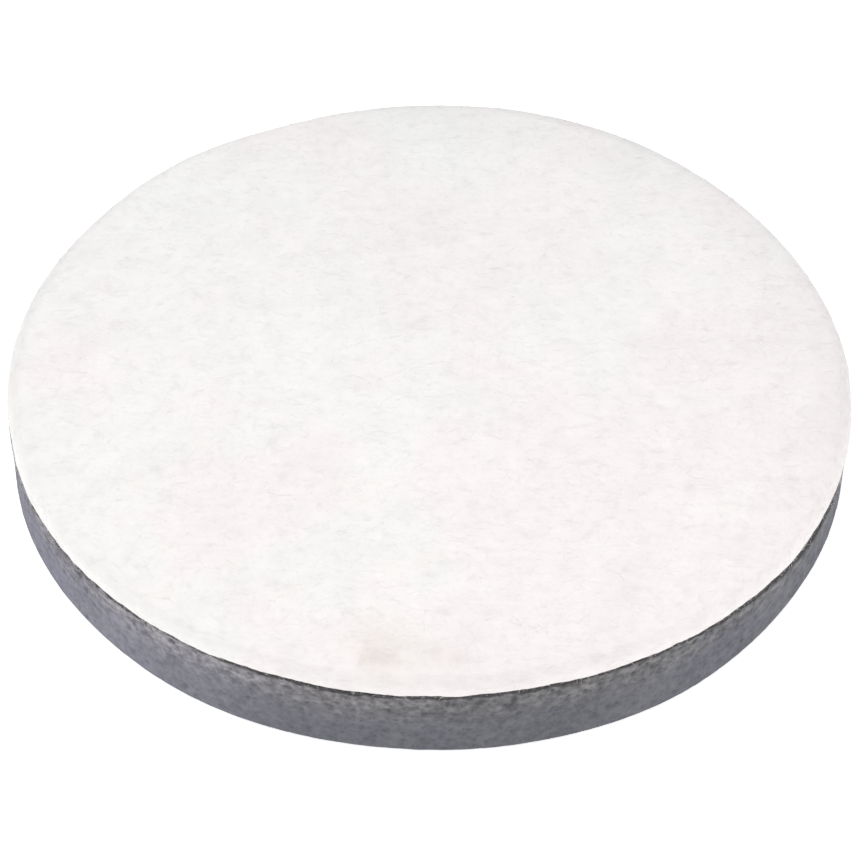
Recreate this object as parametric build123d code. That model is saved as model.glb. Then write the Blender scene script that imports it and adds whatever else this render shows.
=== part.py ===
from build123d import *
import math
import os

# Felt polishing wheel, 6 in, for a lapidary arbor.
#
# A white pressed-wool felt face is glued to a thick dark grey sponge-rubber
# cushion. A turned aluminium backing plate is let into the cushion's back and
# glued there, so that soft rubber, not metal, is at the wheel's rim. A blind
# threaded brass hub is screwed to the middle of the plate, so that the wheel
# spins on to an arbor end and the face stays whole, with no hole in it.
#
# Millimetres, +Z up. The origin is the centre of the plate's back face, which
# seats on the arbor's shoulder; +Z runs along the spin axis to the felt face.
# The plate stands a little proud of the cushion's back, so the wheel lies on
# the plate, felt up.

# ---- driving dimensions -----------------------------------------------------
WHEEL_D = 152.4        # 6 in nominal, the diameter of the felt
FELT_T = 3.2           # 1/8 in pressed felt
FELT_TOP_BREAK = 2.0   # rounding of the felt's working edge
FELT_OVERHANG = 0.2    # the felt stands this far past the cushion

CUSHION_T = 13.7       # sponge rubber, a full 1/2 in thick at the rim
PLATE_PROUD = 0.3      # the plate's back stands this far out of the cushion's
PLATE_ROOM = 0.15      # radial room round the plate in the cushion
FILM_T = 0.15          # each adhesive film
FILM_SETBACK = 0.5     # a film stops this far inside the part that it holds

PLATE_D = 139.7        # 5-1/2 in, so a soft ring is left all round the metal
PLATE_T = 4.0
PLATE_EDGE_BREAK = 0.6

HUB_BARREL_D = 24.0    # barrel through the plate, and the boss above the flange
HUB_FLANGE_D = 50.0
HUB_FLANGE_T = 4.0
HUB_TOP_Z = 10.8       # closed end of the blind boss
THREAD_MINOR_D = 11.5  # minor diameter of a 1/2-20 UNF internal thread
THREAD_DEPTH = 9.2     # from the back face
THREAD_CHAMFER = 0.8
HUB_FIT = 0.03         # radial room of the barrel in the plate

SCREW_COUNT = 4        # M4 x 8 countersunk, hexagon socket
SCREW_PCD = 38.0
SCREW_D = 4.0
SCREW_HEAD_D = 7.8
SCREW_SUNK = 0.1       # heads lie this far under the back face
SCREW_SOCKET_AF = 2.5
SCREW_SOCKET_DEPTH = 1.5
PLATE_SCREW_HOLE_D = 4.3
SEAT_GAP = 0.02        # cone to cone, head to countersink

POCKET_ROOM = 0.3      # room round the hub in the cushion

# ---- heights ------------------------------------------------------------------
Z_PLATE = PLATE_T
Z_SEAT = Z_PLATE + FILM_T            # the cushion's inner seat on the plate
Z_CUSHION = PLATE_PROUD
Z_CUSHION_TOP = Z_CUSHION + CUSHION_T
Z_FELT = Z_CUSHION_TOP + FILM_T
Z_TOP = Z_FELT + FELT_T

R_FELT = WHEEL_D / 2
R_CUSHION = R_FELT - FELT_OVERHANG
R_PLATE = PLATE_D / 2
R_RECESS = R_PLATE + PLATE_ROOM
R_BARREL = HUB_BARREL_D / 2
R_FLANGE = HUB_FLANGE_D / 2
R_POCKET_FLANGE = R_FLANGE + POCKET_ROOM
R_POCKET_BOSS = R_BARREL + POCKET_ROOM
Z_FLANGE_TOP = Z_PLATE + HUB_FLANGE_T


def turned(points):
    """A solid of revolution about Z from (radius, height) points."""
    face = make_face(Polyline(*[(r, 0, z) for r, z in points], close=True))
    return revolve(face, Axis.Z, 360)


def cylinder(radius, low, high):
    return Pos(0, 0, low) * Cylinder(
        radius, high - low, align=(Align.CENTER, Align.CENTER, Align.MIN)
    )


def screw_places():
    return [
        Rot(0, 0, 45 + 360 / SCREW_COUNT * i) * Pos(SCREW_PCD / 2, 0, 0)
        for i in range(SCREW_COUNT)
    ]


# ---- felt face: a plain disc, its working edge slightly rounded ------------------
def make_felt_face():
    disc = cylinder(R_FELT, Z_FELT, Z_TOP)
    top_edge = disc.edges().filter_by(GeomType.CIRCLE).sort_by(Axis.Z)[-1]
    return fillet(top_edge, FELT_TOP_BREAK)


# ---- adhesive films: whole disc under the felt, ring round the hub pocket --------
def make_felt_adhesive():
    return cylinder(R_CUSHION - FILM_SETBACK, Z_CUSHION_TOP, Z_FELT)


def make_cushion_adhesive():
    return turned(
        [
            (R_POCKET_FLANGE, Z_PLATE),
            (R_PLATE - FILM_SETBACK - PLATE_EDGE_BREAK, Z_PLATE),
            (R_PLATE - FILM_SETBACK - PLATE_EDGE_BREAK, Z_SEAT),
            (R_POCKET_FLANGE, Z_SEAT),
        ]
    )


# ---- cushion: sponge rubber, recessed for the plate, with a stepped blind pocket
# ---- for the hub
def make_foam_cushion():
    return turned(
        [
            (R_POCKET_FLANGE, Z_SEAT),
            (R_RECESS, Z_SEAT),
            (R_RECESS, Z_CUSHION),
            (R_CUSHION, Z_CUSHION),
            (R_CUSHION, Z_CUSHION_TOP),
            (0, Z_CUSHION_TOP),
            (0, HUB_TOP_Z + POCKET_ROOM),
            (R_POCKET_BOSS, HUB_TOP_Z + POCKET_ROOM),
            (R_POCKET_BOSS, Z_FLANGE_TOP + POCKET_ROOM),
            (R_POCKET_FLANGE, Z_FLANGE_TOP + POCKET_ROOM),
        ]
    )


# ---- backing plate: turned disc, bored for the hub, countersunk for the screws ---
def make_backing_plate():
    b = PLATE_EDGE_BREAK
    plate = turned(
        [
            (R_BARREL + HUB_FIT, 0),
            (R_PLATE - b, 0),
            (R_PLATE, b),
            (R_PLATE, PLATE_T - b),
            (R_PLATE - b, PLATE_T),
            (R_BARREL + HUB_FIT, PLATE_T),
        ]
    )
    r_sink = SCREW_HEAD_D / 2 + SCREW_SUNK + SEAT_GAP
    r_hole = PLATE_SCREW_HOLE_D / 2
    sink = turned(
        [
            (0, -1),
            (r_sink + 1, -1),
            (r_hole, r_sink - r_hole),
            (r_hole, PLATE_T + 1),
            (0, PLATE_T + 1),
        ]
    )
    for place in screw_places():
        plate -= place * sink
    return plate


# ---- arbor hub: barrel through the plate, flange on its far side, blind thread ---
def make_arbor_hub():
    r = THREAD_MINOR_D / 2
    hub = turned(
        [
            (r + THREAD_CHAMFER, 0),
            (R_BARREL - 0.4, 0),
            (R_BARREL, 0.4),
            (R_BARREL, Z_PLATE),
            (R_FLANGE, Z_PLATE),
            (R_FLANGE, Z_FLANGE_TOP - 0.5),
            (R_FLANGE - 0.5, Z_FLANGE_TOP),
            (R_BARREL, Z_FLANGE_TOP),
            (R_BARREL, HUB_TOP_Z - 0.8),
            (R_BARREL - 0.8, HUB_TOP_Z),
            (0, HUB_TOP_Z),
            (0, THREAD_DEPTH),
            (r, THREAD_DEPTH),
            (r, THREAD_CHAMFER),
        ]
    )
    for place in screw_places():
        hub -= place * cylinder(SCREW_D / 2 + SEAT_GAP, Z_PLATE - 1, Z_FLANGE_TOP + 1)
    return hub


# ---- hub screws: four countersunk screws, put in from the back --------------------
def make_hub_screws():
    r_head, r_body = SCREW_HEAD_D / 2, SCREW_D / 2
    body = turned(
        [
            (0, SCREW_SUNK),
            (r_head, SCREW_SUNK),
            (r_body, SCREW_SUNK + r_head - r_body),
            (r_body, Z_FLANGE_TOP - 0.3),
            (r_body - 0.3, Z_FLANGE_TOP),
            (0, Z_FLANGE_TOP),
        ]
    )
    socket = Pos(0, 0, SCREW_SUNK) * extrude(
        RegularPolygon(SCREW_SOCKET_AF / 2, 6, major_radius=False),
        amount=SCREW_SOCKET_DEPTH,
    )
    screw = body - socket
    return Compound(children=[place * screw for place in screw_places()])


PARTS = {
    "felt_face": make_felt_face,
    "felt_adhesive_film": make_felt_adhesive,
    "foam_cushion": make_foam_cushion,
    "cushion_adhesive_film": make_cushion_adhesive,
    "backing_plate": make_backing_plate,
    "arbor_hub": make_arbor_hub,
    "hub_screws": make_hub_screws,
}

if __name__ == "__main__":
    os.makedirs("parts", exist_ok=True)
    for name, make in PARTS.items():
        shape = make()
        volume = sum(s.volume for s in shape.solids())
        print(name, "solids", len(shape.solids()), "cm3", round(volume / 1000, 3))
        export_step(shape, f"parts/{name}.step")
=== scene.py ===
import math

import bpy
import numpy as np
from mathutils import Matrix, Vector


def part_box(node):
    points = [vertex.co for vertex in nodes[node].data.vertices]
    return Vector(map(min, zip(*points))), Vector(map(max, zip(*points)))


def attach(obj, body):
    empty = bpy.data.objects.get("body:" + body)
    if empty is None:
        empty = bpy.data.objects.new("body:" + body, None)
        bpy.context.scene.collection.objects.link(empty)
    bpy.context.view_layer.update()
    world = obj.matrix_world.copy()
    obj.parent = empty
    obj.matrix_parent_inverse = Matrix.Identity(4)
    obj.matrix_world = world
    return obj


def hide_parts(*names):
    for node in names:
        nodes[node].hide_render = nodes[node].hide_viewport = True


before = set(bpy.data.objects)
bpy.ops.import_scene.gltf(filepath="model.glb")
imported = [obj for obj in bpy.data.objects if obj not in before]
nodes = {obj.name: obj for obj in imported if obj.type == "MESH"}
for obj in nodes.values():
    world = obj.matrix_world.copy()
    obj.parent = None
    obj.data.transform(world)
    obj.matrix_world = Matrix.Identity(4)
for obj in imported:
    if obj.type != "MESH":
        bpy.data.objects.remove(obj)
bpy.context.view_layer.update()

# ---------------------------------------------------------------- sizes, from the CAD
felt_lo, felt_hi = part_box("felt_face")
foam_lo, foam_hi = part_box("foam_cushion")
film_lo, film_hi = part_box("felt_adhesive_film")
plate_lo, plate_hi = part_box("backing_plate")
hub_lo, hub_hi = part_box("arbor_hub")

MM = 0.001
R_FELT = felt_hi.x / MM                  # everything below is in millimetres
Z_TOP = felt_hi.z / MM
Z_FELT = felt_lo.z / MM
R_FOAM = foam_hi.x / MM
Z_FOAM = foam_lo.z / MM
Z_FOAM_TOP = foam_hi.z / MM
R_FILM = film_hi.x / MM
R_PLATE = plate_hi.x / MM
Z_PLATE = plate_hi.z / MM
R_FLANGE = hub_hi.x / MM
Z_HUB = hub_hi.z / MM
R_RECESS = R_PLATE + 0.15
R_POCKET = R_FLANGE + 0.3
R_BOSS_POCKET = 12.3
Z_SEAT = Z_PLATE + 0.15
Z_POCKET = Z_PLATE + 4.3
Z_BOSS_POCKET = Z_HUB + 0.3


# ---------------------------------------------------------------- seeded noise, in numpy
def _hash(ix, iy, iz, seed):
    h = (
        ix.astype(np.uint32) * np.uint32(374761393)
        + iy.astype(np.uint32) * np.uint32(668265263)
        + iz.astype(np.uint32) * np.uint32(2147483647)
        + np.uint32((seed * 3266489917) & 0xFFFFFFFF)
    )
    h ^= h >> np.uint32(13)
    h *= np.uint32(1274126177)
    h ^= h >> np.uint32(16)
    h *= np.uint32(2246822519)
    h ^= h >> np.uint32(13)
    return h


def gnoise(p, seed):
    """Gradient noise, about -1 to 1, at points p (n, 3)."""
    p = np.asarray(p, float)
    i = np.floor(p).astype(np.int64)
    f = p - i
    u = f * f * f * (f * (f * 6 - 15) + 10)
    out = np.zeros(len(p))
    for dx in (0, 1):
        wx = u[:, 0] if dx else 1 - u[:, 0]
        for dy in (0, 1):
            wy = u[:, 1] if dy else 1 - u[:, 1]
            for dz in (0, 1):
                wz = u[:, 2] if dz else 1 - u[:, 2]
                h = _hash(i[:, 0] + dx, i[:, 1] + dy, i[:, 2] + dz, seed)
                a = (h & np.uint32(0xFFFF)).astype(float) / 65535 * 2 * math.pi
                z = (h >> np.uint32(16)).astype(float) / 65535 * 2 - 1
                s = np.sqrt(np.maximum(0, 1 - z * z))
                g = (
                    s * np.cos(a) * (f[:, 0] - dx)
                    + s * np.sin(a) * (f[:, 1] - dy)
                    + z * (f[:, 2] - dz)
                )
                out += wx * wy * wz * g
    return out * 1.6


def fbm(p, seed, octaves=3, gain=0.5):
    total, amp, norm = 0.0, 1.0, 0.0
    for k in range(octaves):
        total = total + amp * gnoise(p * 2.03**k + 17.3 * k, seed + k)
        norm += amp
        amp *= gain
    return total / norm


def rings_noise(theta, seed, scale, third=0.0):
    """Noise round the rim that meets itself: scale is the number of lumps round the circle, about."""
    r = scale / (2 * math.pi)
    p = np.stack([np.cos(theta) * r, np.sin(theta) * r, np.full_like(theta, third)], -1)
    return gnoise(p + 31.7, seed)


def smooth(a, b, x):
    t = np.clip((x - a) / (b - a), 0, 1)
    return t * t * (3 - 2 * t)


# ---------------------------------------------------------------- mesh helpers
def make_object(name, verts_mm, faces, smooth_shade=True):
    mesh = bpy.data.meshes.new(name)
    mesh.from_pydata((np.asarray(verts_mm) * MM).tolist(), [], faces)
    mesh.validate()
    if smooth_shade:
        mesh.polygons.foreach_set("use_smooth", [True] * len(mesh.polygons))
    mesh.update()
    ob = bpy.data.objects.new(name, mesh)
    bpy.context.scene.collection.objects.link(ob)
    return ob


def vertex_value(ob, name, values):
    a = ob.data.attributes.new(name, "FLOAT", "POINT")
    a.data.foreach_set("value", np.asarray(values, np.float32))


def ring_faces(a, b, n):
    """Quads between the ring of n vertices that starts at a and the one at b."""
    k = np.arange(n)
    k2 = (k + 1) % n
    return np.stack([a + k, a + k2, b + k2, b + k], 1).tolist()


# ---------------------------------------------------------------- the rim: cut by hand, so neither quite round nor quite level
def swell(theta, at, wide):
    """A smooth rise of 1 round the rim at the angle given, in degrees."""
    d = (theta - math.radians(at) + math.pi) % (2 * math.pi) - math.pi
    return np.exp(-((d / math.radians(wide)) ** 2))


def lift(r, theta):
    """How far felt and cushion's top stand above their nominal height, near the rim."""
    edge = (
        0.30 * swell(theta, 72, 24)
        - 0.20 * swell(theta, 112, 16)
        - 0.10 * swell(theta, 27, 20)
        - 0.60 * swell(theta, -33, 26)
        - 0.36 * swell(theta, -148, 24)
        + 0.05 * rings_noise(theta, 58, 30)
    )
    return edge * smooth(R_FELT - 18, R_FELT, r)


def felt_radius(theta):
    broad = (
        0.45 * swell(theta, 72, 22)
        - 0.35 * swell(theta, 112, 16)
        - 0.38 * swell(theta, 27, 18)
        - 0.42 * swell(theta, 150, 14)
        + 0.60 * swell(theta, -32, 22)
        + 0.30 * swell(theta, -150, 18)
        + 0.12 * swell(theta, -122, 14)
    )
    ragged = 0.10 * rings_noise(theta, 52, 34) + 0.08 * rings_noise(theta, 53, 150)
    return R_FELT - 0.10 + broad + ragged


def felt_rounding(theta):
    return 2.0 + 0.25 * rings_noise(theta, 55, 18)


def felt_foot(theta):
    """Height of the felt's lower edge, before the rim's lift: ragged, hanging over the glue here and there."""
    return (
        Z_FELT
        - 0.06
        + 0.16 * rings_noise(theta, 56, 46)
        + 0.22 * rings_noise(theta, 57, 150)
        + 0.11 * rings_noise(theta, 59, 400)
    )


def felt_surface(w, theta):
    """Point and normal of the smooth felt, w mm out from its centre, walked over the face, the rounded edge and the cut side."""
    radius, rho = felt_radius(theta), felt_rounding(theta)
    core = radius - rho
    a = np.clip((w - core) / rho, 0, math.pi / 2)
    r = np.minimum(w, core) + rho * np.sin(a)
    z = Z_TOP - 0.08 - rho * (1 - np.cos(a)) - np.maximum(0, w - core - rho * math.pi / 2)
    z = z + lift(r, theta)
    cos, sin = np.cos(theta), np.sin(theta)
    point = np.stack([r * cos, r * sin, z], -1)
    normal = np.stack([np.sin(a) * cos, np.sin(a) * sin, np.cos(a)], -1)
    return point, normal


def felt_relief(p, normal):
    """How far the felt's surface stands out from its smooth shape, in mm, at points (n, 3) in mm."""
    q = np.array(p, float)
    h = 0.13 * gnoise(q / 38 + 3.1, 11)                       # the disc isn't quite flat
    h += 0.08 * gnoise(q / 15 + 9.7, 12)
    h += 0.055 * fbm(q / 5.2, 13, 2)                          # clumps of wool
    warp = np.stack([gnoise(q / 9, 21), gnoise(q / 9 + 50, 22), 0 * q[:, 0]], -1) * 2.2
    w = q + warp
    for k, (angle, seed) in enumerate(((0.35, 31), (1.45, 32), (2.55, 33))):   # matted strands
        c, s = math.cos(angle), math.sin(angle)
        along, across = w[:, 0] * c + w[:, 1] * s, -w[:, 0] * s + w[:, 1] * c
        n = gnoise(np.stack([along / 5.0, across / 1.25, w[:, 2] / 1.25], -1) + 7 * k, seed)
        h += 0.010 * (1 - 2 * np.abs(n))
    h += 0.016 * gnoise(q / 0.95, 41)
    # layers that show in the cut side
    theta = np.arctan2(q[:, 1], q[:, 0])
    layers = gnoise(np.stack([np.cos(theta) * 24, np.sin(theta) * 24, q[:, 2] / 0.40], -1), 61)
    return h + 0.05 * layers * smooth(0.75, 0.2, normal[:, 2])


def build_felt():
    n = 248                                                   # quads along each side of the square that becomes the disc
    t = np.linspace(-1, 1, n + 1)
    a, b = np.meshgrid(t, t, indexing="ij")
    a, b = a.ravel(), b.ravel()
    r = np.where(np.abs(a) > np.abs(b), a, b)
    with np.errstate(divide="ignore", invalid="ignore"):
        phi = np.where(
            np.abs(a) > np.abs(b),
            (math.pi / 4) * np.nan_to_num(b / a),
            (math.pi / 2) - (math.pi / 4) * np.nan_to_num(a / b),
        )
    ux, uy = r * np.cos(phi), r * np.sin(phi)
    theta = np.arctan2(uy, ux)
    walks, angles = [np.hypot(ux, uy) * (felt_radius(theta) - felt_rounding(theta))], [theta]
    index = np.arange((n + 1) ** 2).reshape(n + 1, n + 1)
    faces = (
        np.stack([index[:-1, :-1], index[1:, :-1], index[1:, 1:], index[:-1, 1:]], -1)
        .reshape(-1, 4)
        .tolist()
    )
    # the square's outline, then rings over the rounded edge and down the cut side
    outline = np.concatenate([index[:-1, 0], index[-1, :-1], index[:0:-1, -1], index[0, :0:-1]])
    m = len(outline)
    ring_theta = theta[outline]
    step = (ring_theta[1] - ring_theta[0] + math.pi) % (2 * math.pi) - math.pi
    flip = step < 0
    radius, rho, foot = felt_radius(ring_theta), felt_rounding(ring_theta), felt_foot(ring_theta)
    core = radius - rho
    for k in range(1, 11):
        walks.append(core + rho * math.pi / 2 * k / 10)
        angles.append(ring_theta)
    side = (Z_TOP - 0.08 - rho) - (foot + 0.20)
    for k in range(1, 5):
        walks.append(core + rho * math.pi / 2 + side * k / 4)
        angles.append(ring_theta)
    point, normal = felt_surface(np.concatenate(walks), np.concatenate(angles))
    verts = point + normal * felt_relief(point, normal)[:, None]
    base = (n + 1) ** 2
    prev = outline.tolist()

    def join(now):
        for k in range(m):
            k2 = (k + 1) % m
            q = (prev[k], now[k], now[k2], prev[k2])
            faces.append(q[::-1] if flip else q)

    for _ in range(14):
        now = list(range(base, base + m))
        join(now)
        prev = now
        base += m
    # lower corner, then the under face, glued down
    last = verts[-m:]
    cos, sin = np.cos(ring_theta), np.sin(ring_theta)
    extra = []
    for k in range(1, 4):
        e = math.pi / 2 * k / 3
        rr = np.hypot(last[:, 0], last[:, 1]) - 0.20 * (1 - math.cos(e))
        extra.append(np.stack([rr * cos, rr * sin, last[:, 2] - 0.20 * math.sin(e)], -1))
    rr = np.full(m, R_FELT - 2.0)
    extra.append(np.stack([rr * cos, rr * sin, Z_FELT + 0.02 + lift(rr, ring_theta)], -1))
    rr = np.full(m, R_FELT - 19.0)
    extra.append(np.stack([rr * cos, rr * sin, np.full(m, Z_FELT + 0.02)], -1))
    for ring in extra:
        now = list(range(base, base + m))
        join(now)
        prev = now
        base += m
    verts = np.concatenate([verts] + extra + [np.array([[0.0, 0.0, Z_FELT + 0.02]])])
    for k in range(m):
        tri = (prev[k], base, prev[(k + 1) % m])
        faces.append(tri[::-1] if flip else tri)
    return make_object("felt_pad", verts, faces)


# ---------------------------------------------------------------- loose wool fibres
def fibre_mesh(name, lines, ups, radii):
    """lines (n, k, 3): centre lines of n fibres of k points, ups (n, k, 3) the way out of the felt. Each becomes a closed three-sided sliver, pointed at both ends, with a flat side up."""
    n, k, _ = lines.shape
    tangent = np.gradient(lines, axis=1)
    tangent /= np.linalg.norm(tangent, axis=2, keepdims=True) + 1e-12
    side = np.cross(tangent, ups)
    norm = np.linalg.norm(side, axis=2, keepdims=True)
    side = np.where(norm > 1e-3, side / (norm + 1e-12), np.array([1.0, 0.0, 0.0]))
    up = np.cross(side, tangent)
    inner = lines[:, 1:-1]
    s, u = side[:, 1:-1], up[:, 1:-1]
    ring = []
    for j in range(3):
        a = 2 * math.pi * j / 3 - math.pi / 2
        ring.append(inner + radii[:, None, None] * (math.cos(a) * s + math.sin(a) * u))
    ring = np.stack(ring, 2)                                  # n, k-2, 3 (corner), 3
    per = 3 * (k - 2) + 2
    verts = np.concatenate([lines[:, :1], ring.reshape(n, -1, 3), lines[:, -1:]], 1).reshape(-1, 3)
    local = []
    for j in range(3):
        j2 = (j + 1) % 3
        local.append((0, 1 + j2, 1 + j))
        for i in range(k - 3):
            a0, b0 = 1 + 3 * i, 1 + 3 * (i + 1)
            local.append((a0 + j, a0 + j2, b0 + j2))
            local.append((a0 + j, b0 + j2, b0 + j))
        last = 1 + 3 * (k - 3)
        local.append((last + j, last + j2, per - 1))
    local = np.array(local)
    faces = (local[None] + (np.arange(n) * per)[:, None, None]).reshape(-1, 3).tolist()
    return make_object(name, verts, faces)


def build_matted_fibres(name, count, seed, loose):
    """Fibres matted into the face, the rounded edge and the cut side, bowed and crossing, their ends tucked in. loose is the share that stands proud in long bows."""
    rng = np.random.default_rng(seed)
    k = 6
    out = R_FELT - 2.0 + 2.0 * math.pi / 2 + 0.85             # how far the walk goes, over the edge and down the side
    w = np.sqrt(rng.uniform(0, 1, count)) * out
    a = rng.uniform(0, 2 * math.pi, count)
    length = rng.gamma(4.0, 0.9, count).clip(1.0, 8.0)
    heading = rng.uniform(0, 2 * math.pi, count)
    bend = rng.normal(0, 0.8, count)
    wriggle = rng.normal(0, 0.30, (count, k))
    s = np.linspace(-0.5, 0.5, k)
    angle = heading[:, None] + bend[:, None] * s[None] * 2 + np.cumsum(wriggle, 1) * 0.5
    step = length[:, None] / (k - 1)
    x = np.cumsum(np.cos(angle) * step, 1)
    y = np.cumsum(np.sin(angle) * step, 1)
    x += (w * np.cos(a))[:, None] - x.mean(1, keepdims=True)
    y += (w * np.sin(a))[:, None] - y.mean(1, keepdims=True)
    keep = np.hypot(x, y).max(1) < out
    x, y = x[keep], y[keep]
    count = len(x)
    walk, theta = np.hypot(x, y).ravel(), np.arctan2(y, x).ravel()
    point, normal = felt_surface(walk, theta)
    ground = felt_relief(point, normal).reshape(count, k)
    free = rng.uniform(0, 1, count) < loose
    rise = np.where(free, rng.gamma(2.5, 0.025, count).clip(0.02, 0.12), rng.gamma(2.0, 0.005, count).clip(0.001, 0.025))
    bow = np.sin(np.linspace(0, math.pi, k)) ** 0.7
    h = ground + rise[:, None] * bow[None] - 0.022 * (1 - bow)[None] - 0.007
    point = point.reshape(count, k, 3)
    normal = normal.reshape(count, k, 3)
    lines = point + normal * h[:, :, None]
    radii = np.where(free, rng.uniform(0.009, 0.014, count), rng.uniform(0.011, 0.020, count))
    return fibre_mesh(name, lines, normal, radii)


def build_edge_fuzz(count, seed):
    """Short fibres that stand out of the felt's rounded edge and cut side, and over its lower edge."""
    rng = np.random.default_rng(seed)
    k = 6
    theta = rng.uniform(0, 2 * math.pi, count)
    s = rng.uniform(0, 1, count) ** 0.8                       # 0 at the start of the rounding, 1 at the foot
    core = felt_radius(theta) - felt_rounding(theta)
    total = felt_rounding(theta) * math.pi / 2 + 1.15
    walk = core + s * total
    point, normal = felt_surface(walk, theta)
    ground = felt_relief(point, normal)
    low = smooth(0.80, 1.0, s)                                # the lowest fibres hang over the glue line
    out = rng.gamma(2.0, 0.075, count).clip(0.03, 0.55) * (1 + 0.5 * low)
    stray = rng.normal(0, 0.60, count)
    fall = rng.normal(0.05, 0.30, count) + 0.12 * low
    around = np.stack([-np.sin(theta), np.cos(theta), 0 * theta], -1)
    down = np.cross(around, normal)
    t = np.linspace(0, 1, k)
    curl = rng.uniform(0.8, 2.0, count)
    rise = out[:, None] * np.sin(np.minimum(t[None] * curl[:, None], 1.5) * math.pi / 2) - 0.12 * (1 - t[None]) ** 2
    jitter = 0.05 * rng.normal(0, 1, (count, k)).cumsum(1) * t[None]
    lines = (
        point[:, None]
        + normal[:, None] * (ground[:, None] + rise)[:, :, None]
        + around[:, None] * (stray[:, None] * t[None] + jitter)[:, :, None]
        + down[:, None] * (fall[:, None] * t[None] ** 1.3)[:, :, None]
    )
    ups = np.broadcast_to(normal[:, None], lines.shape)
    return fibre_mesh("felt_edge_fuzz", lines, ups, rng.uniform(0.009, 0.018, count))


# ---------------------------------------------------------------- sponge-rubber cushion
def pit_field(u, v, length, low, high, seed, density, size_lo, size_hi):
    """Depth and cover of cut-open cells at points (u, v) mm on a strip that closes on itself at u = length."""
    rng = np.random.default_rng(seed)
    count = int(density * length * (high - low + 2))
    cu = rng.uniform(0, length, count)
    cv = rng.uniform(low - 1, high + 1, count)
    size = size_lo * (size_hi / size_lo) ** (rng.uniform(0, 1, count) ** 1.7)   # radii, mostly small
    squash = rng.uniform(0.6, 1.0, count)
    turn = rng.uniform(0, math.pi, count)
    depth = size * rng.uniform(0.30, 0.62, count)
    cell = size_hi * 1.05
    nu = max(1, int(length / cell))
    wu = length / nu
    buckets = {}
    for i, (a, b) in enumerate(zip((cu / wu).astype(int) % nu, np.floor(cv / cell).astype(int))):
        buckets.setdefault((int(a), int(b)), []).append(i)
    most = max(len(x) for x in buckets.values())
    rows = int(np.floor((high + 2) / cell)) + 3
    row0 = int(np.floor((low - 2) / cell)) - 1
    table = np.full((nu, rows - row0 + 2, most), -1)
    for (a, b), members in buckets.items():
        table[a, b - row0, : len(members)] = members
    out = np.zeros(len(u))
    iu = (u / wu).astype(int) % nu
    iv = np.floor(v / cell).astype(int) - row0
    for da in (-1, 0, 1):
        for db in (-1, 0, 1):
            found = table[(iu + da) % nu, np.clip(iv + db, 0, table.shape[1] - 1)]
            for j in range(most):
                i = found[:, j]
                ok = i >= 0
                du = u - cu[i]
                du -= length * np.round(du / length)
                dv = v - cv[i]
                c, s = np.cos(turn[i]), np.sin(turn[i])
                x = (du * c + dv * s) / size[i]
                y = (-du * s + dv * c) / (size[i] * squash[i])
                rr = x * x + y * y
                d = np.where(ok & (rr < 1), depth[i] * (1 - rr) ** 0.8, 0)
                out = np.maximum(out, d)
    return out


def foam_radius(theta, level):
    """Smooth radius of the cushion's wall, level 0 at its foot and 1 at its top: cut a little out of round and out of square."""
    high = 0.44 * swell(theta, -30, 20) + 0.22 * swell(theta, -10, 16) + 0.35 * swell(theta, -168, 18)
    low = (
        -0.35 * swell(theta, -140, 14)
        - 0.30 * swell(theta, -98, 14)
        + 0.32 * swell(theta, -58, 12)
        - 0.32 * swell(theta, -34, 14)
    )
    return R_FOAM + high * level + (low + 0.14) * (1 - level)


def foam_relief(p, theta, level):
    """How far the cut wall stands out from its smooth shape, open cells apart."""
    h = 0.07 * rings_noise(theta, 81, 9) + 0.05 * gnoise(p / 9, 82) + 0.045 * gnoise(p / 2.6, 83)
    h += (0.035 + 0.035 * level) * gnoise(p / 0.9, 84)
    return h - 0.12 * np.sin(math.pi * np.clip(level, 0, 1))  # the knife leaves the wall very slightly hollow


def glue_and_shade_run(theta):
    """How far the glue that was squeezed out runs down the wall, in mm: a thin uneven line, partly real glue and partly
    painted shade under the felt's edge, with a long smear on one side that is painted shade, where the felt's overhang
    shades the wall.
    """
    run = 0.84 + 0.42 * rings_noise(theta, 95, 150) + 0.34 * rings_noise(theta, 96, 55) + 0.22 * rings_noise(theta, 97, 400)
    # painted shade: the long dark smear at the right front stands in for the shadow under the felt's overhang
    run += swell(theta, -26, 15) * (2.7 + 0.45 * rings_noise(theta, 98, 120))
    run += 0.45 * swell(theta, -139, 11) + 0.50 * swell(theta, -163, 12)
    return run.clip(0.15, 4.0)


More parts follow.
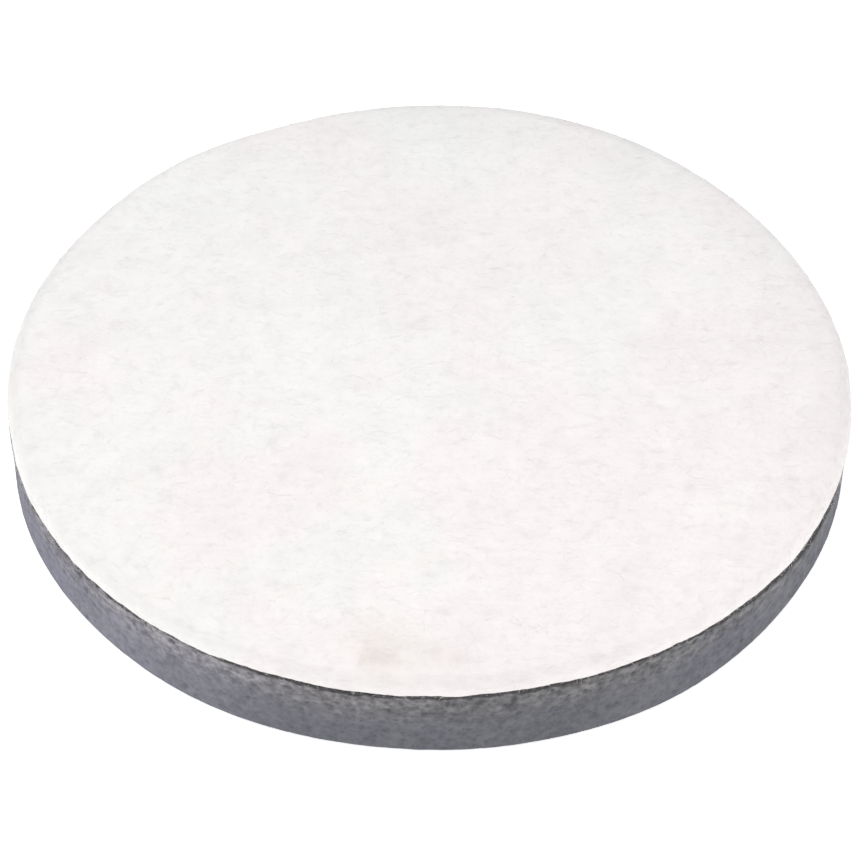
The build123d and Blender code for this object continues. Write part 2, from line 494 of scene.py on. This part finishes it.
def build_foam():
    n = 1400
    theta = np.arange(n) / n * 2 * math.pi
    rows = []                                                 # (radius, height, normal r, normal z, how much it is displaced)

    def line(r0, z0, r1, z1, steps, nr, nz, amount):
        for k in range(1, steps + 1):
            s = k / steps
            rows.append((r0 + (r1 - r0) * s, z0 + (z1 - z0) * s, nr, nz, amount))

    def corner(r, z, size, a0, a1, steps, amount):
        for k in range(1, steps + 1):
            a = math.radians(a0 + (a1 - a0) * k / steps)
            rows.append((r + size * math.cos(a), z + size * math.sin(a), math.cos(a), math.sin(a), amount))

    z_foot = Z_FOAM - 0.16                                    # the soft rim sags a little towards the bench
    e, f = 0.40, 0.22                                         # softness of the upper and lower edge
    rows.append((R_FOAM - 19.0, Z_FOAM_TOP, 0, 1, 0.0))
    rows.append((R_FOAM - 9.0, Z_FOAM_TOP, 0, 1, 0.0))
    rows.append((R_FOAM - 3.5, Z_FOAM_TOP, 0, 1, 0.0))
    rows.append((R_FOAM - 1.2, Z_FOAM_TOP, 0, 1, 0.2))
    rows.append((R_FOAM - e, Z_FOAM_TOP, 0, 1, 0.6))
    corner(R_FOAM - e, Z_FOAM_TOP - e, e, 90, 0, 3, 1.0)
    line(R_FOAM, Z_FOAM_TOP - e, R_FOAM, Z_FOAM_TOP - 2.6, 10, 1, 0, 1.0)
    line(R_FOAM, Z_FOAM_TOP - 2.6, R_FOAM, z_foot + f, 31, 1, 0, 1.0)
    corner(R_FOAM - f, z_foot + f, f, 0, -90, 3, 0.6)
    line(R_FOAM - f, z_foot, R_RECESS + 0.15, z_foot, 9, 0, -1, 0.35)
    rows.append((R_RECESS, z_foot + 0.15, -0.7, -0.7, 0.0))
    rows.append((R_RECESS, Z_SEAT, -1, 0, 0.0))
    rows.append((R_POCKET, Z_SEAT, 0, -1, 0.0))
    rows.append((R_POCKET, Z_POCKET, -1, 0, 0.0))
    rows.append((R_BOSS_POCKET, Z_POCKET, 0, -1, 0.0))
    rows.append((R_BOSS_POCKET, Z_BOSS_POCKET, -1, 0, 0.0))
    rows = np.array(rows)
    m = len(rows)
    rad = np.repeat(rows[:, 0], n)
    z = np.repeat(rows[:, 1], n)
    nr = np.repeat(rows[:, 2], n)
    nz = np.repeat(rows[:, 3], n)
    amount = np.repeat(rows[:, 4], n)
    th = np.tile(theta, m)
    level = np.clip((z - Z_FOAM) / (Z_FOAM_TOP - Z_FOAM), 0, 1)
    # the distance along the profile, so that cells run round the corners unbroken
    step = np.hypot(np.diff(rows[:, 0]), np.diff(rows[:, 1]))
    run = np.concatenate([[0], np.cumsum(step)])
    v = np.repeat(run, n)
    u = th * R_FOAM
    length = 2 * math.pi * R_FOAM
    live = amount > 0
    last = float(run[np.where(rows[:, 4] > 0)[0].max()]) + 0.5
    pits = np.zeros(len(u))
    pits[live] = np.maximum(
        pit_field(u[live], v[live], length, 0, last, 71, 0.42, 0.42, 0.92),
        pit_field(u[live], v[live], length, 0, last, 72, 0.030, 0.9, 1.4) * 0.5,
    )
    # more of them were torn open towards the glued top; the foot was cut clean
    pits *= 0.42 + 0.58 * smooth(0.45, 0.98, level)
    pits *= np.where(nr > 0.5, smooth(0.0, 0.10, level) * 0.8 + 0.2, 1.0)
    p = np.stack([rad * np.cos(th), rad * np.sin(th), z], -1)
    h = (foam_relief(p, th, level) - pits) * amount
    outer = smooth(R_FOAM - 3.0, R_FOAM - 0.5, rad)
    rad2 = rad + nr * h + (foam_radius(th, level) - R_FOAM) * outer
    z2 = z + nz * h
    z2 = np.maximum(z2, np.where(amount > 0, 0.05, -1))
    z2 = z2 + lift(rad, th) * level
    verts = np.stack([rad2 * np.cos(th), rad2 * np.sin(th), z2], -1)
    faces = []
    for k in range(m - 1):
        faces += [q[::-1] for q in ring_faces(k * n, (k + 1) * n, n)]
    top_c, low_c = len(verts), len(verts) + 1
    verts = np.concatenate([verts, [[0, 0, Z_FOAM_TOP], [0, 0, Z_BOSS_POCKET]]])
    k = np.arange(n)
    k2 = (k + 1) % n
    faces += np.stack([np.full(n, top_c), k, k2], 1).tolist()
    b = (m - 1) * n
    faces += np.stack([np.full(n, low_c), b + k2, b + k], 1).tolist()
    ob = make_object("sponge_cushion", verts, faces)
    # the pits' depth drives the painted shade inside them
    vertex_value(ob, "pit", np.concatenate([(pits * amount / 0.34).clip(0, 1), [0, 0]]))
    # painted shade: the glue mask runs furthest down the wall at the right front, under the felt's overhang
    below = Z_FOAM_TOP - z + 0.22 * gnoise(p / 0.8, 85) + 0.16 * gnoise(p / 2.2, 86)
    spread = 0.16 + 0.75 * swell(th, -25, 16)                 # thinned out towards its lower edge where the painted-shade smear runs down
    glued = smooth(1.0, -1.0, (below - glue_and_shade_run(th)) / spread) * np.where(rad > R_FOAM - 2.0, 1.0, 0.0)
    vertex_value(ob, "glue", np.concatenate([glued, [0, 0]]))
    return ob


# ---------------------------------------------------------------- adhesive between felt and cushion
def build_film():
    """A film with an uneven edge: squeezed out over the top of the wall in places, short of the rim in others."""
    n = 1700
    theta = np.arange(n) / n * 2 * math.pi
    cos, sin = np.cos(theta), np.sin(theta)
    # the film's lip follows the glue line, its painted-shade smear included
    run = (glue_and_shade_run(theta) * 0.8).clip(0.12, 0.60)
    z_wall = Z_FOAM_TOP - 0.40
    p = np.stack([R_FOAM * cos, R_FOAM * sin, np.full(n, z_wall)], -1)
    wall = foam_radius(theta, 0.97) + foam_relief(p, theta, np.full(n, 0.97))
    reach = 0.10 + 0.06 * rings_noise(theta, 92, 150) + 0.04 * rings_noise(theta, 93, 420)
    edge = np.minimum(wall + reach, felt_radius(theta) - 0.06)
    top = Z_FELT + 0.03
    low = Z_FOAM_TOP - run
    rings = [
        (R_FELT - 19.0 + 0 * theta, top - 0.02 + 0 * theta),
        (edge - 3.0, top - 0.01 + 0 * theta),
        (edge - 0.25, top + 0 * theta),
        (edge - 0.04, top - 0.05 + 0 * theta),
        (edge, (top + low) / 2),
        (edge - 0.05, low + 0.06),
        (edge - 0.16, low),
        (edge - 0.50, Z_FOAM_TOP - 0.12 + 0 * theta),
        (edge - 3.0, Z_FOAM_TOP - 0.03 + 0 * theta),
        (R_FELT - 19.0 + 0 * theta, Z_FOAM_TOP - 0.03 + 0 * theta),
    ]
    verts = np.concatenate(
        [np.stack([r * cos, r * sin, z + lift(r, theta)], -1) for r, z in rings]
    )
    faces = []
    for k in range(len(rings) - 1):
        faces += [q[::-1] for q in ring_faces(k * n, (k + 1) * n, n)]
    a, b = len(verts), len(verts) + 1
    verts = np.concatenate([verts, [[0, 0, Z_FELT + 0.01], [0, 0, Z_FOAM_TOP - 0.03]]])
    k = np.arange(n)
    k2 = (k + 1) % n
    faces += np.stack([np.full(n, a), k, k2], 1).tolist()
    o = (len(rings) - 1) * n
    faces += np.stack([np.full(n, b), o + k2, o + k], 1).tolist()
    return make_object("adhesive_film", verts, faces)


# ---------------------------------------------------------------- materials
class Mat:
    def __init__(self, name):
        self.m = bpy.data.materials.new(name)
        self.m.use_nodes = True
        self.t = self.m.node_tree
        self.t.nodes.clear()
        self.out = self.t.nodes.new("ShaderNodeOutputMaterial")
        self.p = self.t.nodes.new("ShaderNodeBsdfPrincipled")
        self.t.links.new(self.p.outputs["BSDF"], self.out.inputs["Surface"])
        self.coord = self.t.nodes.new("ShaderNodeTexCoord").outputs["Object"]

    def set(self, **values):
        for k, v in values.items():
            self.p.inputs[k.replace("_", " ")].default_value = v

    def link(self, a, b):
        self.t.links.new(a, b)

    def mapping(self, vector=None, rotation=(0, 0, 0), scale=(1, 1, 1), location=(0, 0, 0)):
        n = self.t.nodes.new("ShaderNodeMapping")
        self.link(vector or self.coord, n.inputs["Vector"])
        n.inputs["Rotation"].default_value = rotation
        n.inputs["Scale"].default_value = scale
        n.inputs["Location"].default_value = location
        return n.outputs["Vector"]

    def noise(self, scale, detail=2.0, rough=0.5, vector=None, distortion=0.0):
        n = self.t.nodes.new("ShaderNodeTexNoise")
        n.inputs["Scale"].default_value = scale
        n.inputs["Detail"].default_value = detail
        n.inputs["Roughness"].default_value = rough
        n.inputs["Distortion"].default_value = distortion
        self.link(vector or self.coord, n.inputs["Vector"])
        return n.outputs["Fac"]

    def voronoi(self, scale, feature="F1", vector=None, randomness=1.0):
        n = self.t.nodes.new("ShaderNodeTexVoronoi")
        n.feature = feature
        n.inputs["Scale"].default_value = scale
        n.inputs["Randomness"].default_value = randomness
        self.link(vector or self.coord, n.inputs["Vector"])
        return n.outputs["Distance"]

    def ramp(self, fac, stops, interpolation="LINEAR"):
        n = self.t.nodes.new("ShaderNodeValToRGB")
        n.color_ramp.interpolation = interpolation
        e = n.color_ramp.elements
        while len(e) > 1:
            e.remove(e[-1])
        first = True
        for pos, col in stops:
            c = (col, col, col, 1) if isinstance(col, (int, float)) else (*col, 1)
            if first:
                e[0].position, e[0].color = pos, c
                first = False
            else:
                e.new(pos).color = c
        self.link(fac, n.inputs["Fac"])
        return n.outputs["Color"]

    def math(self, op, a, b=None, clamp=False):
        n = self.t.nodes.new("ShaderNodeMath")
        n.operation = op
        n.use_clamp = clamp
        for i, x in enumerate((a, b)):
            if x is None:
                continue
            if isinstance(x, (int, float)):
                n.inputs[i].default_value = x
            else:
                self.link(x, n.inputs[i])
        return n.outputs["Value"]

    def mix(self, fac, a, b, mode="MIX"):
        n = self.t.nodes.new("ShaderNodeMix")
        n.data_type = "RGBA"
        n.blend_type = mode
        for x, name in ((fac, 0), (a, 6), (b, 7)):
            if isinstance(x, (int, float)):
                n.inputs[name].default_value = x if name == 0 else (x, x, x, 1)
            elif isinstance(x, tuple):
                n.inputs[name].default_value = (*x, 1)
            else:
                self.link(x, n.inputs[name])
        return n.outputs[2]

    def bump(self, height, distance, strength=1.0, normal=None):
        n = self.t.nodes.new("ShaderNodeBump")
        n.inputs["Distance"].default_value = distance
        n.inputs["Strength"].default_value = strength
        self.link(height, n.inputs["Height"])
        if normal is not None:
            self.link(normal, n.inputs["Normal"])
        return n.outputs["Normal"]

    def attribute(self, name):
        n = self.t.nodes.new("ShaderNodeAttribute")
        n.attribute_name = name
        return n.outputs["Fac"]

    def colour(self, socket):
        self.link(socket, self.p.inputs["Base Color"])

    def normal(self, socket):
        self.link(socket, self.p.inputs["Normal"])


    def xyz(self):
        n = self.t.nodes.new("ShaderNodeSeparateXYZ")
        self.link(self.coord, n.inputs[0])
        return n.outputs

    def near(self, place):
        """The distance from a place on the piece, in metres."""
        n = self.t.nodes.new("ShaderNodeVectorMath")
        n.operation = "DISTANCE"
        self.link(self.coord, n.inputs[0])
        n.inputs[1].default_value = place
        return n.outputs["Value"]


def painted_rim_shade(m, x, y):
    """Painted shade on the felt's far side: greyer over the last millimetres of the rim at the back, where the rounded
    edge turns away from the light, and a shade greyer further in on the back-right side.
    """
    out = m.math("MULTIPLY", m.near((0, 0, 0.0172)), 10)
    near_edge = m.math("ADD", out, m.math("MULTIPLY", m.noise(160, 3, 0.6), 0.012))
    back = m.ramp(m.math("ADD", m.math("MULTIPLY", y, 6), 0.5), [(0.36, 0.0), (0.60, 1.0)])
    edge = m.math("MULTIPLY", m.ramp(near_edge, [(0.739, 0.0), (0.757, 1.0)]), back)
    far = m.math("ADD", m.math("MULTIPLY", x, 5), m.math("MULTIPLY", y, 5))
    side = m.ramp(m.math("ADD", far, 0.5), [(0.55, 0.0), (0.85, 1.0)])
    broad = m.math("MULTIPLY", m.ramp(out, [(0.60, 0.0), (0.74, 1.0)]), side)
    c = m.mix(edge, (1, 1, 1), (0.890, 0.893, 0.902))
    return m.mix(broad, c, m.mix(1.0, c, (0.948, 0.947, 0.948), "MULTIPLY"))


def felt_material():
    m = Mat("felt_wool")
    m.set(Roughness=1.0, IOR=1.45)
    m.set(Specular_IOR_Level=0.10, Sheen_Weight=0.20, Sheen_Roughness=0.6)
    # broad tints: a clean neutral white on one side, faintly pink on the other and in the middle
    x, y, z = m.xyz()
    c0 = m.math("ADD", m.noise(40, 3, 0.6), m.math("MULTIPLY", x, 1.1))
    where = m.math("ADD", c0, m.math("MULTIPLY", y, -0.7))
    tint = m.ramp(where, [(0.38, (0.876, 0.866, 0.850)), (0.47, (0.880, 0.861, 0.848)), (0.56, (0.892, 0.850, 0.846)), (0.70, (0.880, 0.838, 0.833))])
    cloud = m.ramp(m.noise(75, 3, 0.6, vector=m.mapping(location=(0.2, 0.6, 0.4))), [(0.30, 0.982), (0.50, 1.0), (0.70, 1.010)])
    c = m.mix(1.0, tint, cloud, "MULTIPLY")
    # painted shade: the back of the face, away from the light, is a shade greyer
    painted_back_shade = m.ramp(m.math("ADD", y, m.math("MULTIPLY", m.noise(30, 2, 0.5), 0.05)), [(0.0, 1.0), (0.085, (0.948, 0.955, 0.957))])
    c = m.mix(1.0, c, painted_back_shade, "MULTIPLY")
    # painted shade on the far rim and towards the back right
    c = m.mix(1.0, c, painted_rim_shade(m, x, y), "MULTIPLY")
    # clumps and matted strands
    clump = m.ramp(m.noise(210, 3, 0.58), [(0.32, 0.972), (0.52, 1.0), (0.72, 1.016)])
    c = m.mix(1.0, c, clump, "MULTIPLY")
    # sparse soft spots where the wool is denser
    spot = m.ramp(m.noise(340, 2, 0.5, vector=m.mapping(location=(0.9, 0.4, 0.2))), [(0.57, (1, 1, 1)), (0.72, (0.948, 0.945, 0.947))])
    c = m.mix(1.0, c, spot, "MULTIPLY")
    pale = m.ramp(m.noise(300, 2, 0.5, vector=m.mapping(location=(0.1, 0.8, 0.5))), [(0.58, (1, 1, 1)), (0.72, (1.022, 1.024, 1.024))])
    c = m.mix(1.0, c, pale, "MULTIPLY")
    for angle, seed in ((0.4, 0.13), (1.5, 0.37), (2.6, 0.71)):
        v = m.mapping(rotation=(0, 0, angle), scale=(0.18, 1.0, 1.0), location=(seed, seed, seed))
        strand = m.ramp(m.noise(800, 3, 0.55, vector=v, distortion=0.35), [(0.30, 0.990), (0.50, 1.0), (0.75, 1.006)])
        c = m.mix(1.0, c, strand, "MULTIPLY")
    # a few darker hairs and specks that stay in pressed wool
    speck = m.ramp(m.voronoi(88), [(0.0, (0.84, 0.81, 0.77)), (0.035, (0.93, 0.915, 0.90)), (0.080, (1, 1, 1))])
    gate = m.ramp(m.noise(55, 1, 0.5, vector=m.mapping(location=(0.3, 0.1, 0.7))), [(0.57, 0.0), (0.67, 1.0)])
    c = m.mix(m.math("MULTIPLY", gate, 0.6), c, m.mix(1.0, c, speck, "MULTIPLY"))
    # handling marks and denser tufts: a faint brownish smudge near the rim, small grey and pale ones elsewhere
    ragged = m.math("MULTIPLY", m.noise(420, 4, 0.65), 0.55)
    grey, pale = (0.945, 0.942, 0.944), (1.022, 1.022, 1.022)
    for x_mm, y_mm, size, shade in (
        (-6.5, -68.6, 14.0, (0.948, 0.932, 0.908)),
        (2.5, -69.5, 9.0, (0.972, 0.962, 0.960)),
        (-8.6, -70.6, 5.4, (0.905, 0.893, 0.870)),
        (-5.6, -71.0, 3.0, (0.945, 0.935, 0.920)),
        (5.0, -70.6, 4.0, (0.955, 0.945, 0.945)),
        (-47.5, -26.9, 2.8, (0.925, 0.926, 0.924)),
        (-50.4, -28.4, 2.4, (0.935, 0.936, 0.934)),
        (-27.7, -20.2, 2.6, (0.935, 0.932, 0.933)),
        (-25.4, -28.6, 2.4, grey),
        (23.0, 13.2, 2.8, grey),
        (0.8, -51.8, 2.6, grey),
        (15.8, 57.7, 2.8, grey),
        (41.1, -21.2, 2.5, grey),
        (62.4, 13.8, 2.8, grey),
        (2.5, -60.0, 2.6, grey),
        (-12.5, 1.4, 2.5, grey),
        (45.4, -30.1, 2.5, grey),
        (10.8, -17.1, 2.2, grey),
        (-45.7, -30.8, 2.2, pale),
        (9.9, -14.3, 2.2, pale),
        (41.4, -45.2, 2.3, pale),
        (-5.1, -65.9, 2.2, pale),
        (-10.5, 4.4, 2.3, pale),
        (40.6, 33.6, 2.6, pale),
        (-30.1, -64.5, 2.2, pale),
        (20.0, 9.7, 2.2, pale),
    ):
        d = m.math("ADD", m.math("DIVIDE", m.near((x_mm / 1000, y_mm / 1000, 0.0172)), size / 1000), ragged)
        c = m.mix(m.ramp(d, [(0.30, 1.0), (1.0, 0.0)], "EASE"), c, m.mix(1.0, c, shade, "MULTIPLY"))
    m.colour(c)
    fine = m.noise(2600, 3, 0.7)
    mid = m.noise(1100, 3, 0.6, distortion=0.6)
    n = m.bump(mid, 0.00008, 0.7)
    n = m.bump(fine, 0.00004, 0.7, n)
    m.normal(n)
    return m.m


def fibre_material():
    m = Mat("felt_fibre")
    m.set(Roughness=0.95, IOR=1.45)
    m.set(Specular_IOR_Level=0.10, Sheen_Weight=0.15, Sheen_Roughness=0.6)
    x, y, z = m.xyz()
    c0 = m.math("ADD", m.noise(40, 3, 0.6), m.math("MULTIPLY", x, 1.1))
    where = m.math("ADD", c0, m.math("MULTIPLY", y, -0.7))
    # painted light: the fibres are a shade paler than the felt, to offset their own shading; the far rim gets the
    # felt's painted shade
    tint = m.ramp(where, [(0.38, (0.900, 0.890, 0.874)), (0.47, (0.903, 0.884, 0.871)), (0.56, (0.914, 0.873, 0.869)), (0.70, (0.903, 0.861, 0.856))])
    c = m.mix(1.0, tint, painted_rim_shade(m, x, y), "MULTIPLY")
    m.colour(m.mix(1.0, c, m.ramp(m.noise(700, 2, 0.5), [(0.35, 0.985), (0.65, 1.01)]), "MULTIPLY"))
    return m.m


def foam_material():
    m = Mat("sponge_rubber_cut")
    m.set(Roughness=0.96, IOR=1.5)
    m.set(Specular_IOR_Level=0.03)
    x, y, z = m.xyz()
    level = m.math("DIVIDE", z, 0.0140)
    # the upper part, next to the glue, is rougher, more neutral and more broken up than the foot
    torn = m.ramp(m.math("ADD", level, m.math("MULTIPLY", m.noise(210, 3, 0.6), 0.34)), [(0.62, 0.0), (1.14, 1.0)])
    grain = m.noise(480, 4, 0.66, vector=m.mapping(scale=(1.0, 1.0, 1.6)))
    calm = m.ramp(grain, [(0.28, (0.118, 0.121, 0.136)), (0.5, (0.146, 0.149, 0.166)), (0.72, (0.176, 0.179, 0.196))])
    rough = m.ramp(grain, [(0.30, (0.092, 0.090, 0.092)), (0.5, (0.160, 0.157, 0.161)), (0.70, (0.252, 0.246, 0.246))])
    c = m.mix(torn, calm, rough)
    broad = m.ramp(m.noise(95, 3, 0.6), [(0.3, (0.93, 0.935, 0.95)), (0.7, (1.06, 1.055, 1.04))])
    c = m.mix(1.0, c, broad, "MULTIPLY")
    # painted light: the wall's ends are paler, as lit more from the sides than the front, with a violet cast on one
    across = m.math("ADD", m.math("MULTIPLY", x, 6.25), m.math("MULTIPLY", m.noise(50, 2, 0.5), 0.12))
    pale = m.ramp(m.math("ADD", across, 0.44), [(0.02, (0.860, 0.847, 0.898)), (0.20, (0.800, 0.790, 0.832)), (0.36, (0.560, 0.558, 0.565)), (0.62, (0.505, 0.505, 0.505)), (0.80, (0.585, 0.580, 0.588)), (1.0, (0.610, 0.610, 0.610))])
    c = m.mix(1.0, c, m.mix(1.0, pale, (2.0, 2.0, 2.0), "MULTIPLY"), "MULTIPLY")
    # the torn band is lighter on one side of the front
    band = m.ramp(m.math("ADD", across, 0.44), [(0.10, (0.46, 0.46, 0.46)), (0.26, (0.62, 0.615, 0.62)), (0.42, (0.60, 0.595, 0.60)), (0.56, (0.54, 0.54, 0.54)), (1.0, (0.50, 0.50, 0.50))])
    c = m.mix(torn, c, m.mix(1.0, c, m.mix(1.0, band, (2.0, 2.0, 2.0), "MULTIPLY"), "MULTIPLY"))
    # fine open cells, and the webs between them
    cells = m.ramp(m.voronoi(880), [(0.10, 0.62), (0.34, 0.95), (0.62, 1.04)])
    c = m.mix(m.math("ADD", m.math("MULTIPLY", torn, 0.40), 0.35, clamp=True), c, m.mix(1.0, c, cells, "MULTIPLY"))
    webs = m.ramp(m.voronoi(880, "DISTANCE_TO_EDGE"), [(0.0, 1.0), (0.10, 0.0)])
    c = m.mix(m.math("MULTIPLY", webs, 0.12), c, (0.30, 0.30, 0.32))
    # painted shade: pits cut open by the knife are dark inside, the darker the deeper they are
    pit = m.attribute("pit")
    c = m.mix(m.math("MULTIPLY", pit, 0.50, clamp=True), c, (0.060, 0.059, 0.064))
    # dried glue that was squeezed out under the felt, partly real and partly painted shade: it runs furthest down at
    # the right front, in the shadow of the felt's overhang
    glue = m.ramp(m.noise(900, 3, 0.6), [(0.3, (0.028, 0.027, 0.030)), (0.7, (0.092, 0.089, 0.091))])
    c = m.mix(m.math("MULTIPLY", m.attribute("glue"), 0.88, clamp=True), c, glue)
    m.colour(c)
    n = m.bump(m.voronoi(880), 0.00016, 0.8)
    n = m.bump(m.noise(2600, 3, 0.7), 0.00005, 0.8, n)
    m.normal(n)
    return m.m


def adhesive_material():
    m = Mat("contact_adhesive")
    m.set(Roughness=0.7, IOR=1.5)
    m.set(Specular_IOR_Level=0.15)
    m.colour(m.ramp(m.noise(700, 3, 0.6), [(0.3, (0.028, 0.027, 0.029)), (0.7, (0.080, 0.077, 0.078))]))
    m.normal(m.bump(m.noise(1500, 2, 0.6), 0.0001, 0.7))
    return m.m


def turned_metal(name, dark, light, rough_lo, rough_hi, pitch):
    """Metal faced on a lathe: fine rings about Z, with faint uneven cloudiness."""
    m = Mat(name)
    m.set(Metallic=1.0)
    sep = m.t.nodes.new("ShaderNodeSeparateXYZ")
    m.link(m.coord, sep.inputs[0])
    x, y, z = sep.outputs
    rad = m.math("SQRT", m.math("ADD", m.math("MULTIPLY", x, x), m.math("MULTIPLY", y, y)))
    along = m.math("ADD", rad, m.math("MULTIPLY", z, 0.37))
    comb = m.t.nodes.new("ShaderNodeCombineXYZ")
    m.link(along, comb.inputs[0])
    rings = m.noise(1.0 / pitch, 4, 0.7, vector=comb.outputs[0])
    coarse = m.noise(0.16 / pitch, 2, 0.6, vector=comb.outputs[0])
    cloud = m.noise(60, 3, 0.6)
    shade = m.ramp(m.mix(0.45, rings, cloud), [(0.3, dark), (0.7, light)])
    m.colour(shade)
    r = m.ramp(m.mix(0.4, coarse, cloud), [(0.3, rough_lo), (0.7, rough_hi)])
    m.link(r, m.p.inputs["Roughness"])
    m.normal(m.bump(rings, pitch * 0.25, 0.6))
    return m.m


def screw_material():
    m = Mat("stainless_screw")
    m.set(Metallic=1.0)
    m.colour(m.ramp(m.noise(900, 3, 0.6), [(0.3, (0.34, 0.335, 0.33)), (0.7, (0.50, 0.495, 0.49))]))
    m.link(m.ramp(m.noise(1400, 2, 0.6), [(0.3, 0.24), (0.7, 0.38)]), m.p.inputs["Roughness"])
    m.normal(m.bump(m.noise(2600, 2, 0.6), 0.00002, 0.5))
    return m.m



def paint(ob, material):
    ob.data.materials.clear()
    ob.data.materials.append(material)


# ---------------------------------------------------------------- the pieces
felt = build_felt()
fibres_a = build_matted_fibres("felt_fibres_a", 8200, 101, 0.01)
fibres_b = build_matted_fibres("felt_fibres_b", 8200, 102, 0.01)
fibres_c = build_matted_fibres("felt_fibres_c", 8200, 104, 0.01)
fuzz = build_edge_fuzz(8200, 103)
foam = build_foam()
film = build_film()
hairs = [fibres_a, fibres_b, fibres_c, fuzz]

wool, hair = felt_material(), fibre_material()
paint(felt, wool)
for ob in hairs:
    paint(ob, hair)
paint(foam, foam_material())
glue = adhesive_material()
paint(film, glue)
paint(nodes["cushion_adhesive_film"], glue)
paint(nodes["backing_plate"], turned_metal("aluminium_turned", (0.42, 0.425, 0.435), (0.72, 0.725, 0.735), 0.28, 0.46, 0.00045))
paint(nodes["arbor_hub"], turned_metal("brass_turned", (0.50, 0.35, 0.14), (0.76, 0.57, 0.25), 0.22, 0.38, 0.00030))
paint(nodes["hub_screws"], screw_material())

for ob, node, slot in (
    (felt, "felt_face", "felt"),
    (foam, "foam_cushion", "sponge_rubber"),
    (film, "felt_adhesive_film", "adhesive"),
):
    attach(ob, "root")
    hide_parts(node)
for ob in hairs:
    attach(ob, "root")

# ---------------------------------------------------------------- floor, light and camera
scene = bpy.context.scene
scene.view_settings.view_transform = "Standard"
scene.view_settings.look = "None"

floor_mesh = bpy.data.meshes.new("floor")
S = 12.0
floor_mesh.from_pydata([(-S, -S, 0), (S, -S, 0), (S, S, 0), (-S, S, 0)], [], [(0, 1, 2, 3)])
floor = bpy.data.objects.new("floor", floor_mesh)
floor.location.z = -0.00006
scene.collection.objects.link(floor)
fm = Mat("floor_pale")
fm.set(Roughness=1.0)
fm.set(Specular_IOR_Level=0.0, Emission_Strength=0.55)
fm.p.inputs["Base Color"].default_value = (0.86, 0.86, 0.86, 1)
fm.p.inputs["Emission Color"].default_value = (1, 1, 1, 1)
paint(floor, fm.m)

# a white room, darker on the side that the photographer stands on; seen itself, it is plain white
world = bpy.data.worlds.new("studio")
scene.world = world
world.use_nodes = True
wt = world.node_tree
bg = wt.nodes["Background"]
direction = wt.nodes.new("ShaderNodeTexCoord").outputs["Generated"]
split = wt.nodes.new("ShaderNodeSeparateXYZ")
wt.links.new(direction, split.inputs[0])
span = wt.nodes.new("ShaderNodeMapRange")
span.inputs["From Min"].default_value = -0.9
span.inputs["From Max"].default_value = 0.5
span.inputs["To Min"].default_value = 0.60
span.inputs["To Max"].default_value = 1.05
wt.links.new(split.outputs["Y"], span.inputs["Value"])
wt.links.new(span.outputs["Result"], bg.inputs["Strength"])
bg.inputs["Color"].default_value = (1, 1, 1, 1)
seen = wt.nodes.new("ShaderNodeBackground")
seen.inputs["Color"].default_value = (1, 1, 1, 1)
seen.inputs["Strength"].default_value = 1.0
path = wt.nodes.new("ShaderNodeLightPath")
pick = wt.nodes.new("ShaderNodeMixShader")
wt.links.new(path.outputs["Is Camera Ray"], pick.inputs[0])
wt.links.new(bg.outputs[0], pick.inputs[1])
wt.links.new(seen.outputs[0], pick.inputs[2])
wt.links.new(pick.outputs[0], wt.nodes["World Output"].inputs["Surface"])


def softbox(name, place, size, power):
    light = bpy.data.lights.new(name, "AREA")
    light.shape = "DISK"
    light.size = size
    light.energy = power
    ob = bpy.data.objects.new(name, light)
    ob.location = place
    ob.rotation_euler = (-Vector(place)).to_track_quat("-Z", "Y").to_euler()
    scene.collection.objects.link(ob)
    return ob


softbox("key_left", (-0.32, -0.38, 1.60), 0.9, 5.8)
softbox("side_left", (-1.30, -0.12, 0.42), 0.8, 0.5)
softbox("side_right", (1.30, -0.20, 0.42), 0.8, 1.3)

R = R_FELT * MM
top = Vector((0, 0, Z_TOP * MM))
el = math.radians(43.286)
tilt = math.radians(1.159)
roll = math.radians(0.566)
cam_data = bpy.data.cameras.new("camera")
cam_data.sensor_width = 36.0
cam_data.lens = 3156.5 / 858 * 36
cam = bpy.data.objects.new("camera", cam_data)
scene.collection.objects.link(cam)
a = el + tilt
look = Vector((0, math.cos(a), -math.sin(a)))
right = look.cross(Vector((0, 0, 1))).normalized()
up = right.cross(look)
c, s = math.cos(roll), math.sin(roll)
right, up = c * right + s * up, -s * right + c * up
basis = Matrix((right, up, -look)).transposed().to_4x4()
place = top + 7.5 * R * Vector((0, -math.cos(el), math.sin(el)))
cam.matrix_world = Matrix.Translation(place) @ basis
cam_data.clip_start, cam_data.clip_end = 0.01, 100
scene.camera = cam
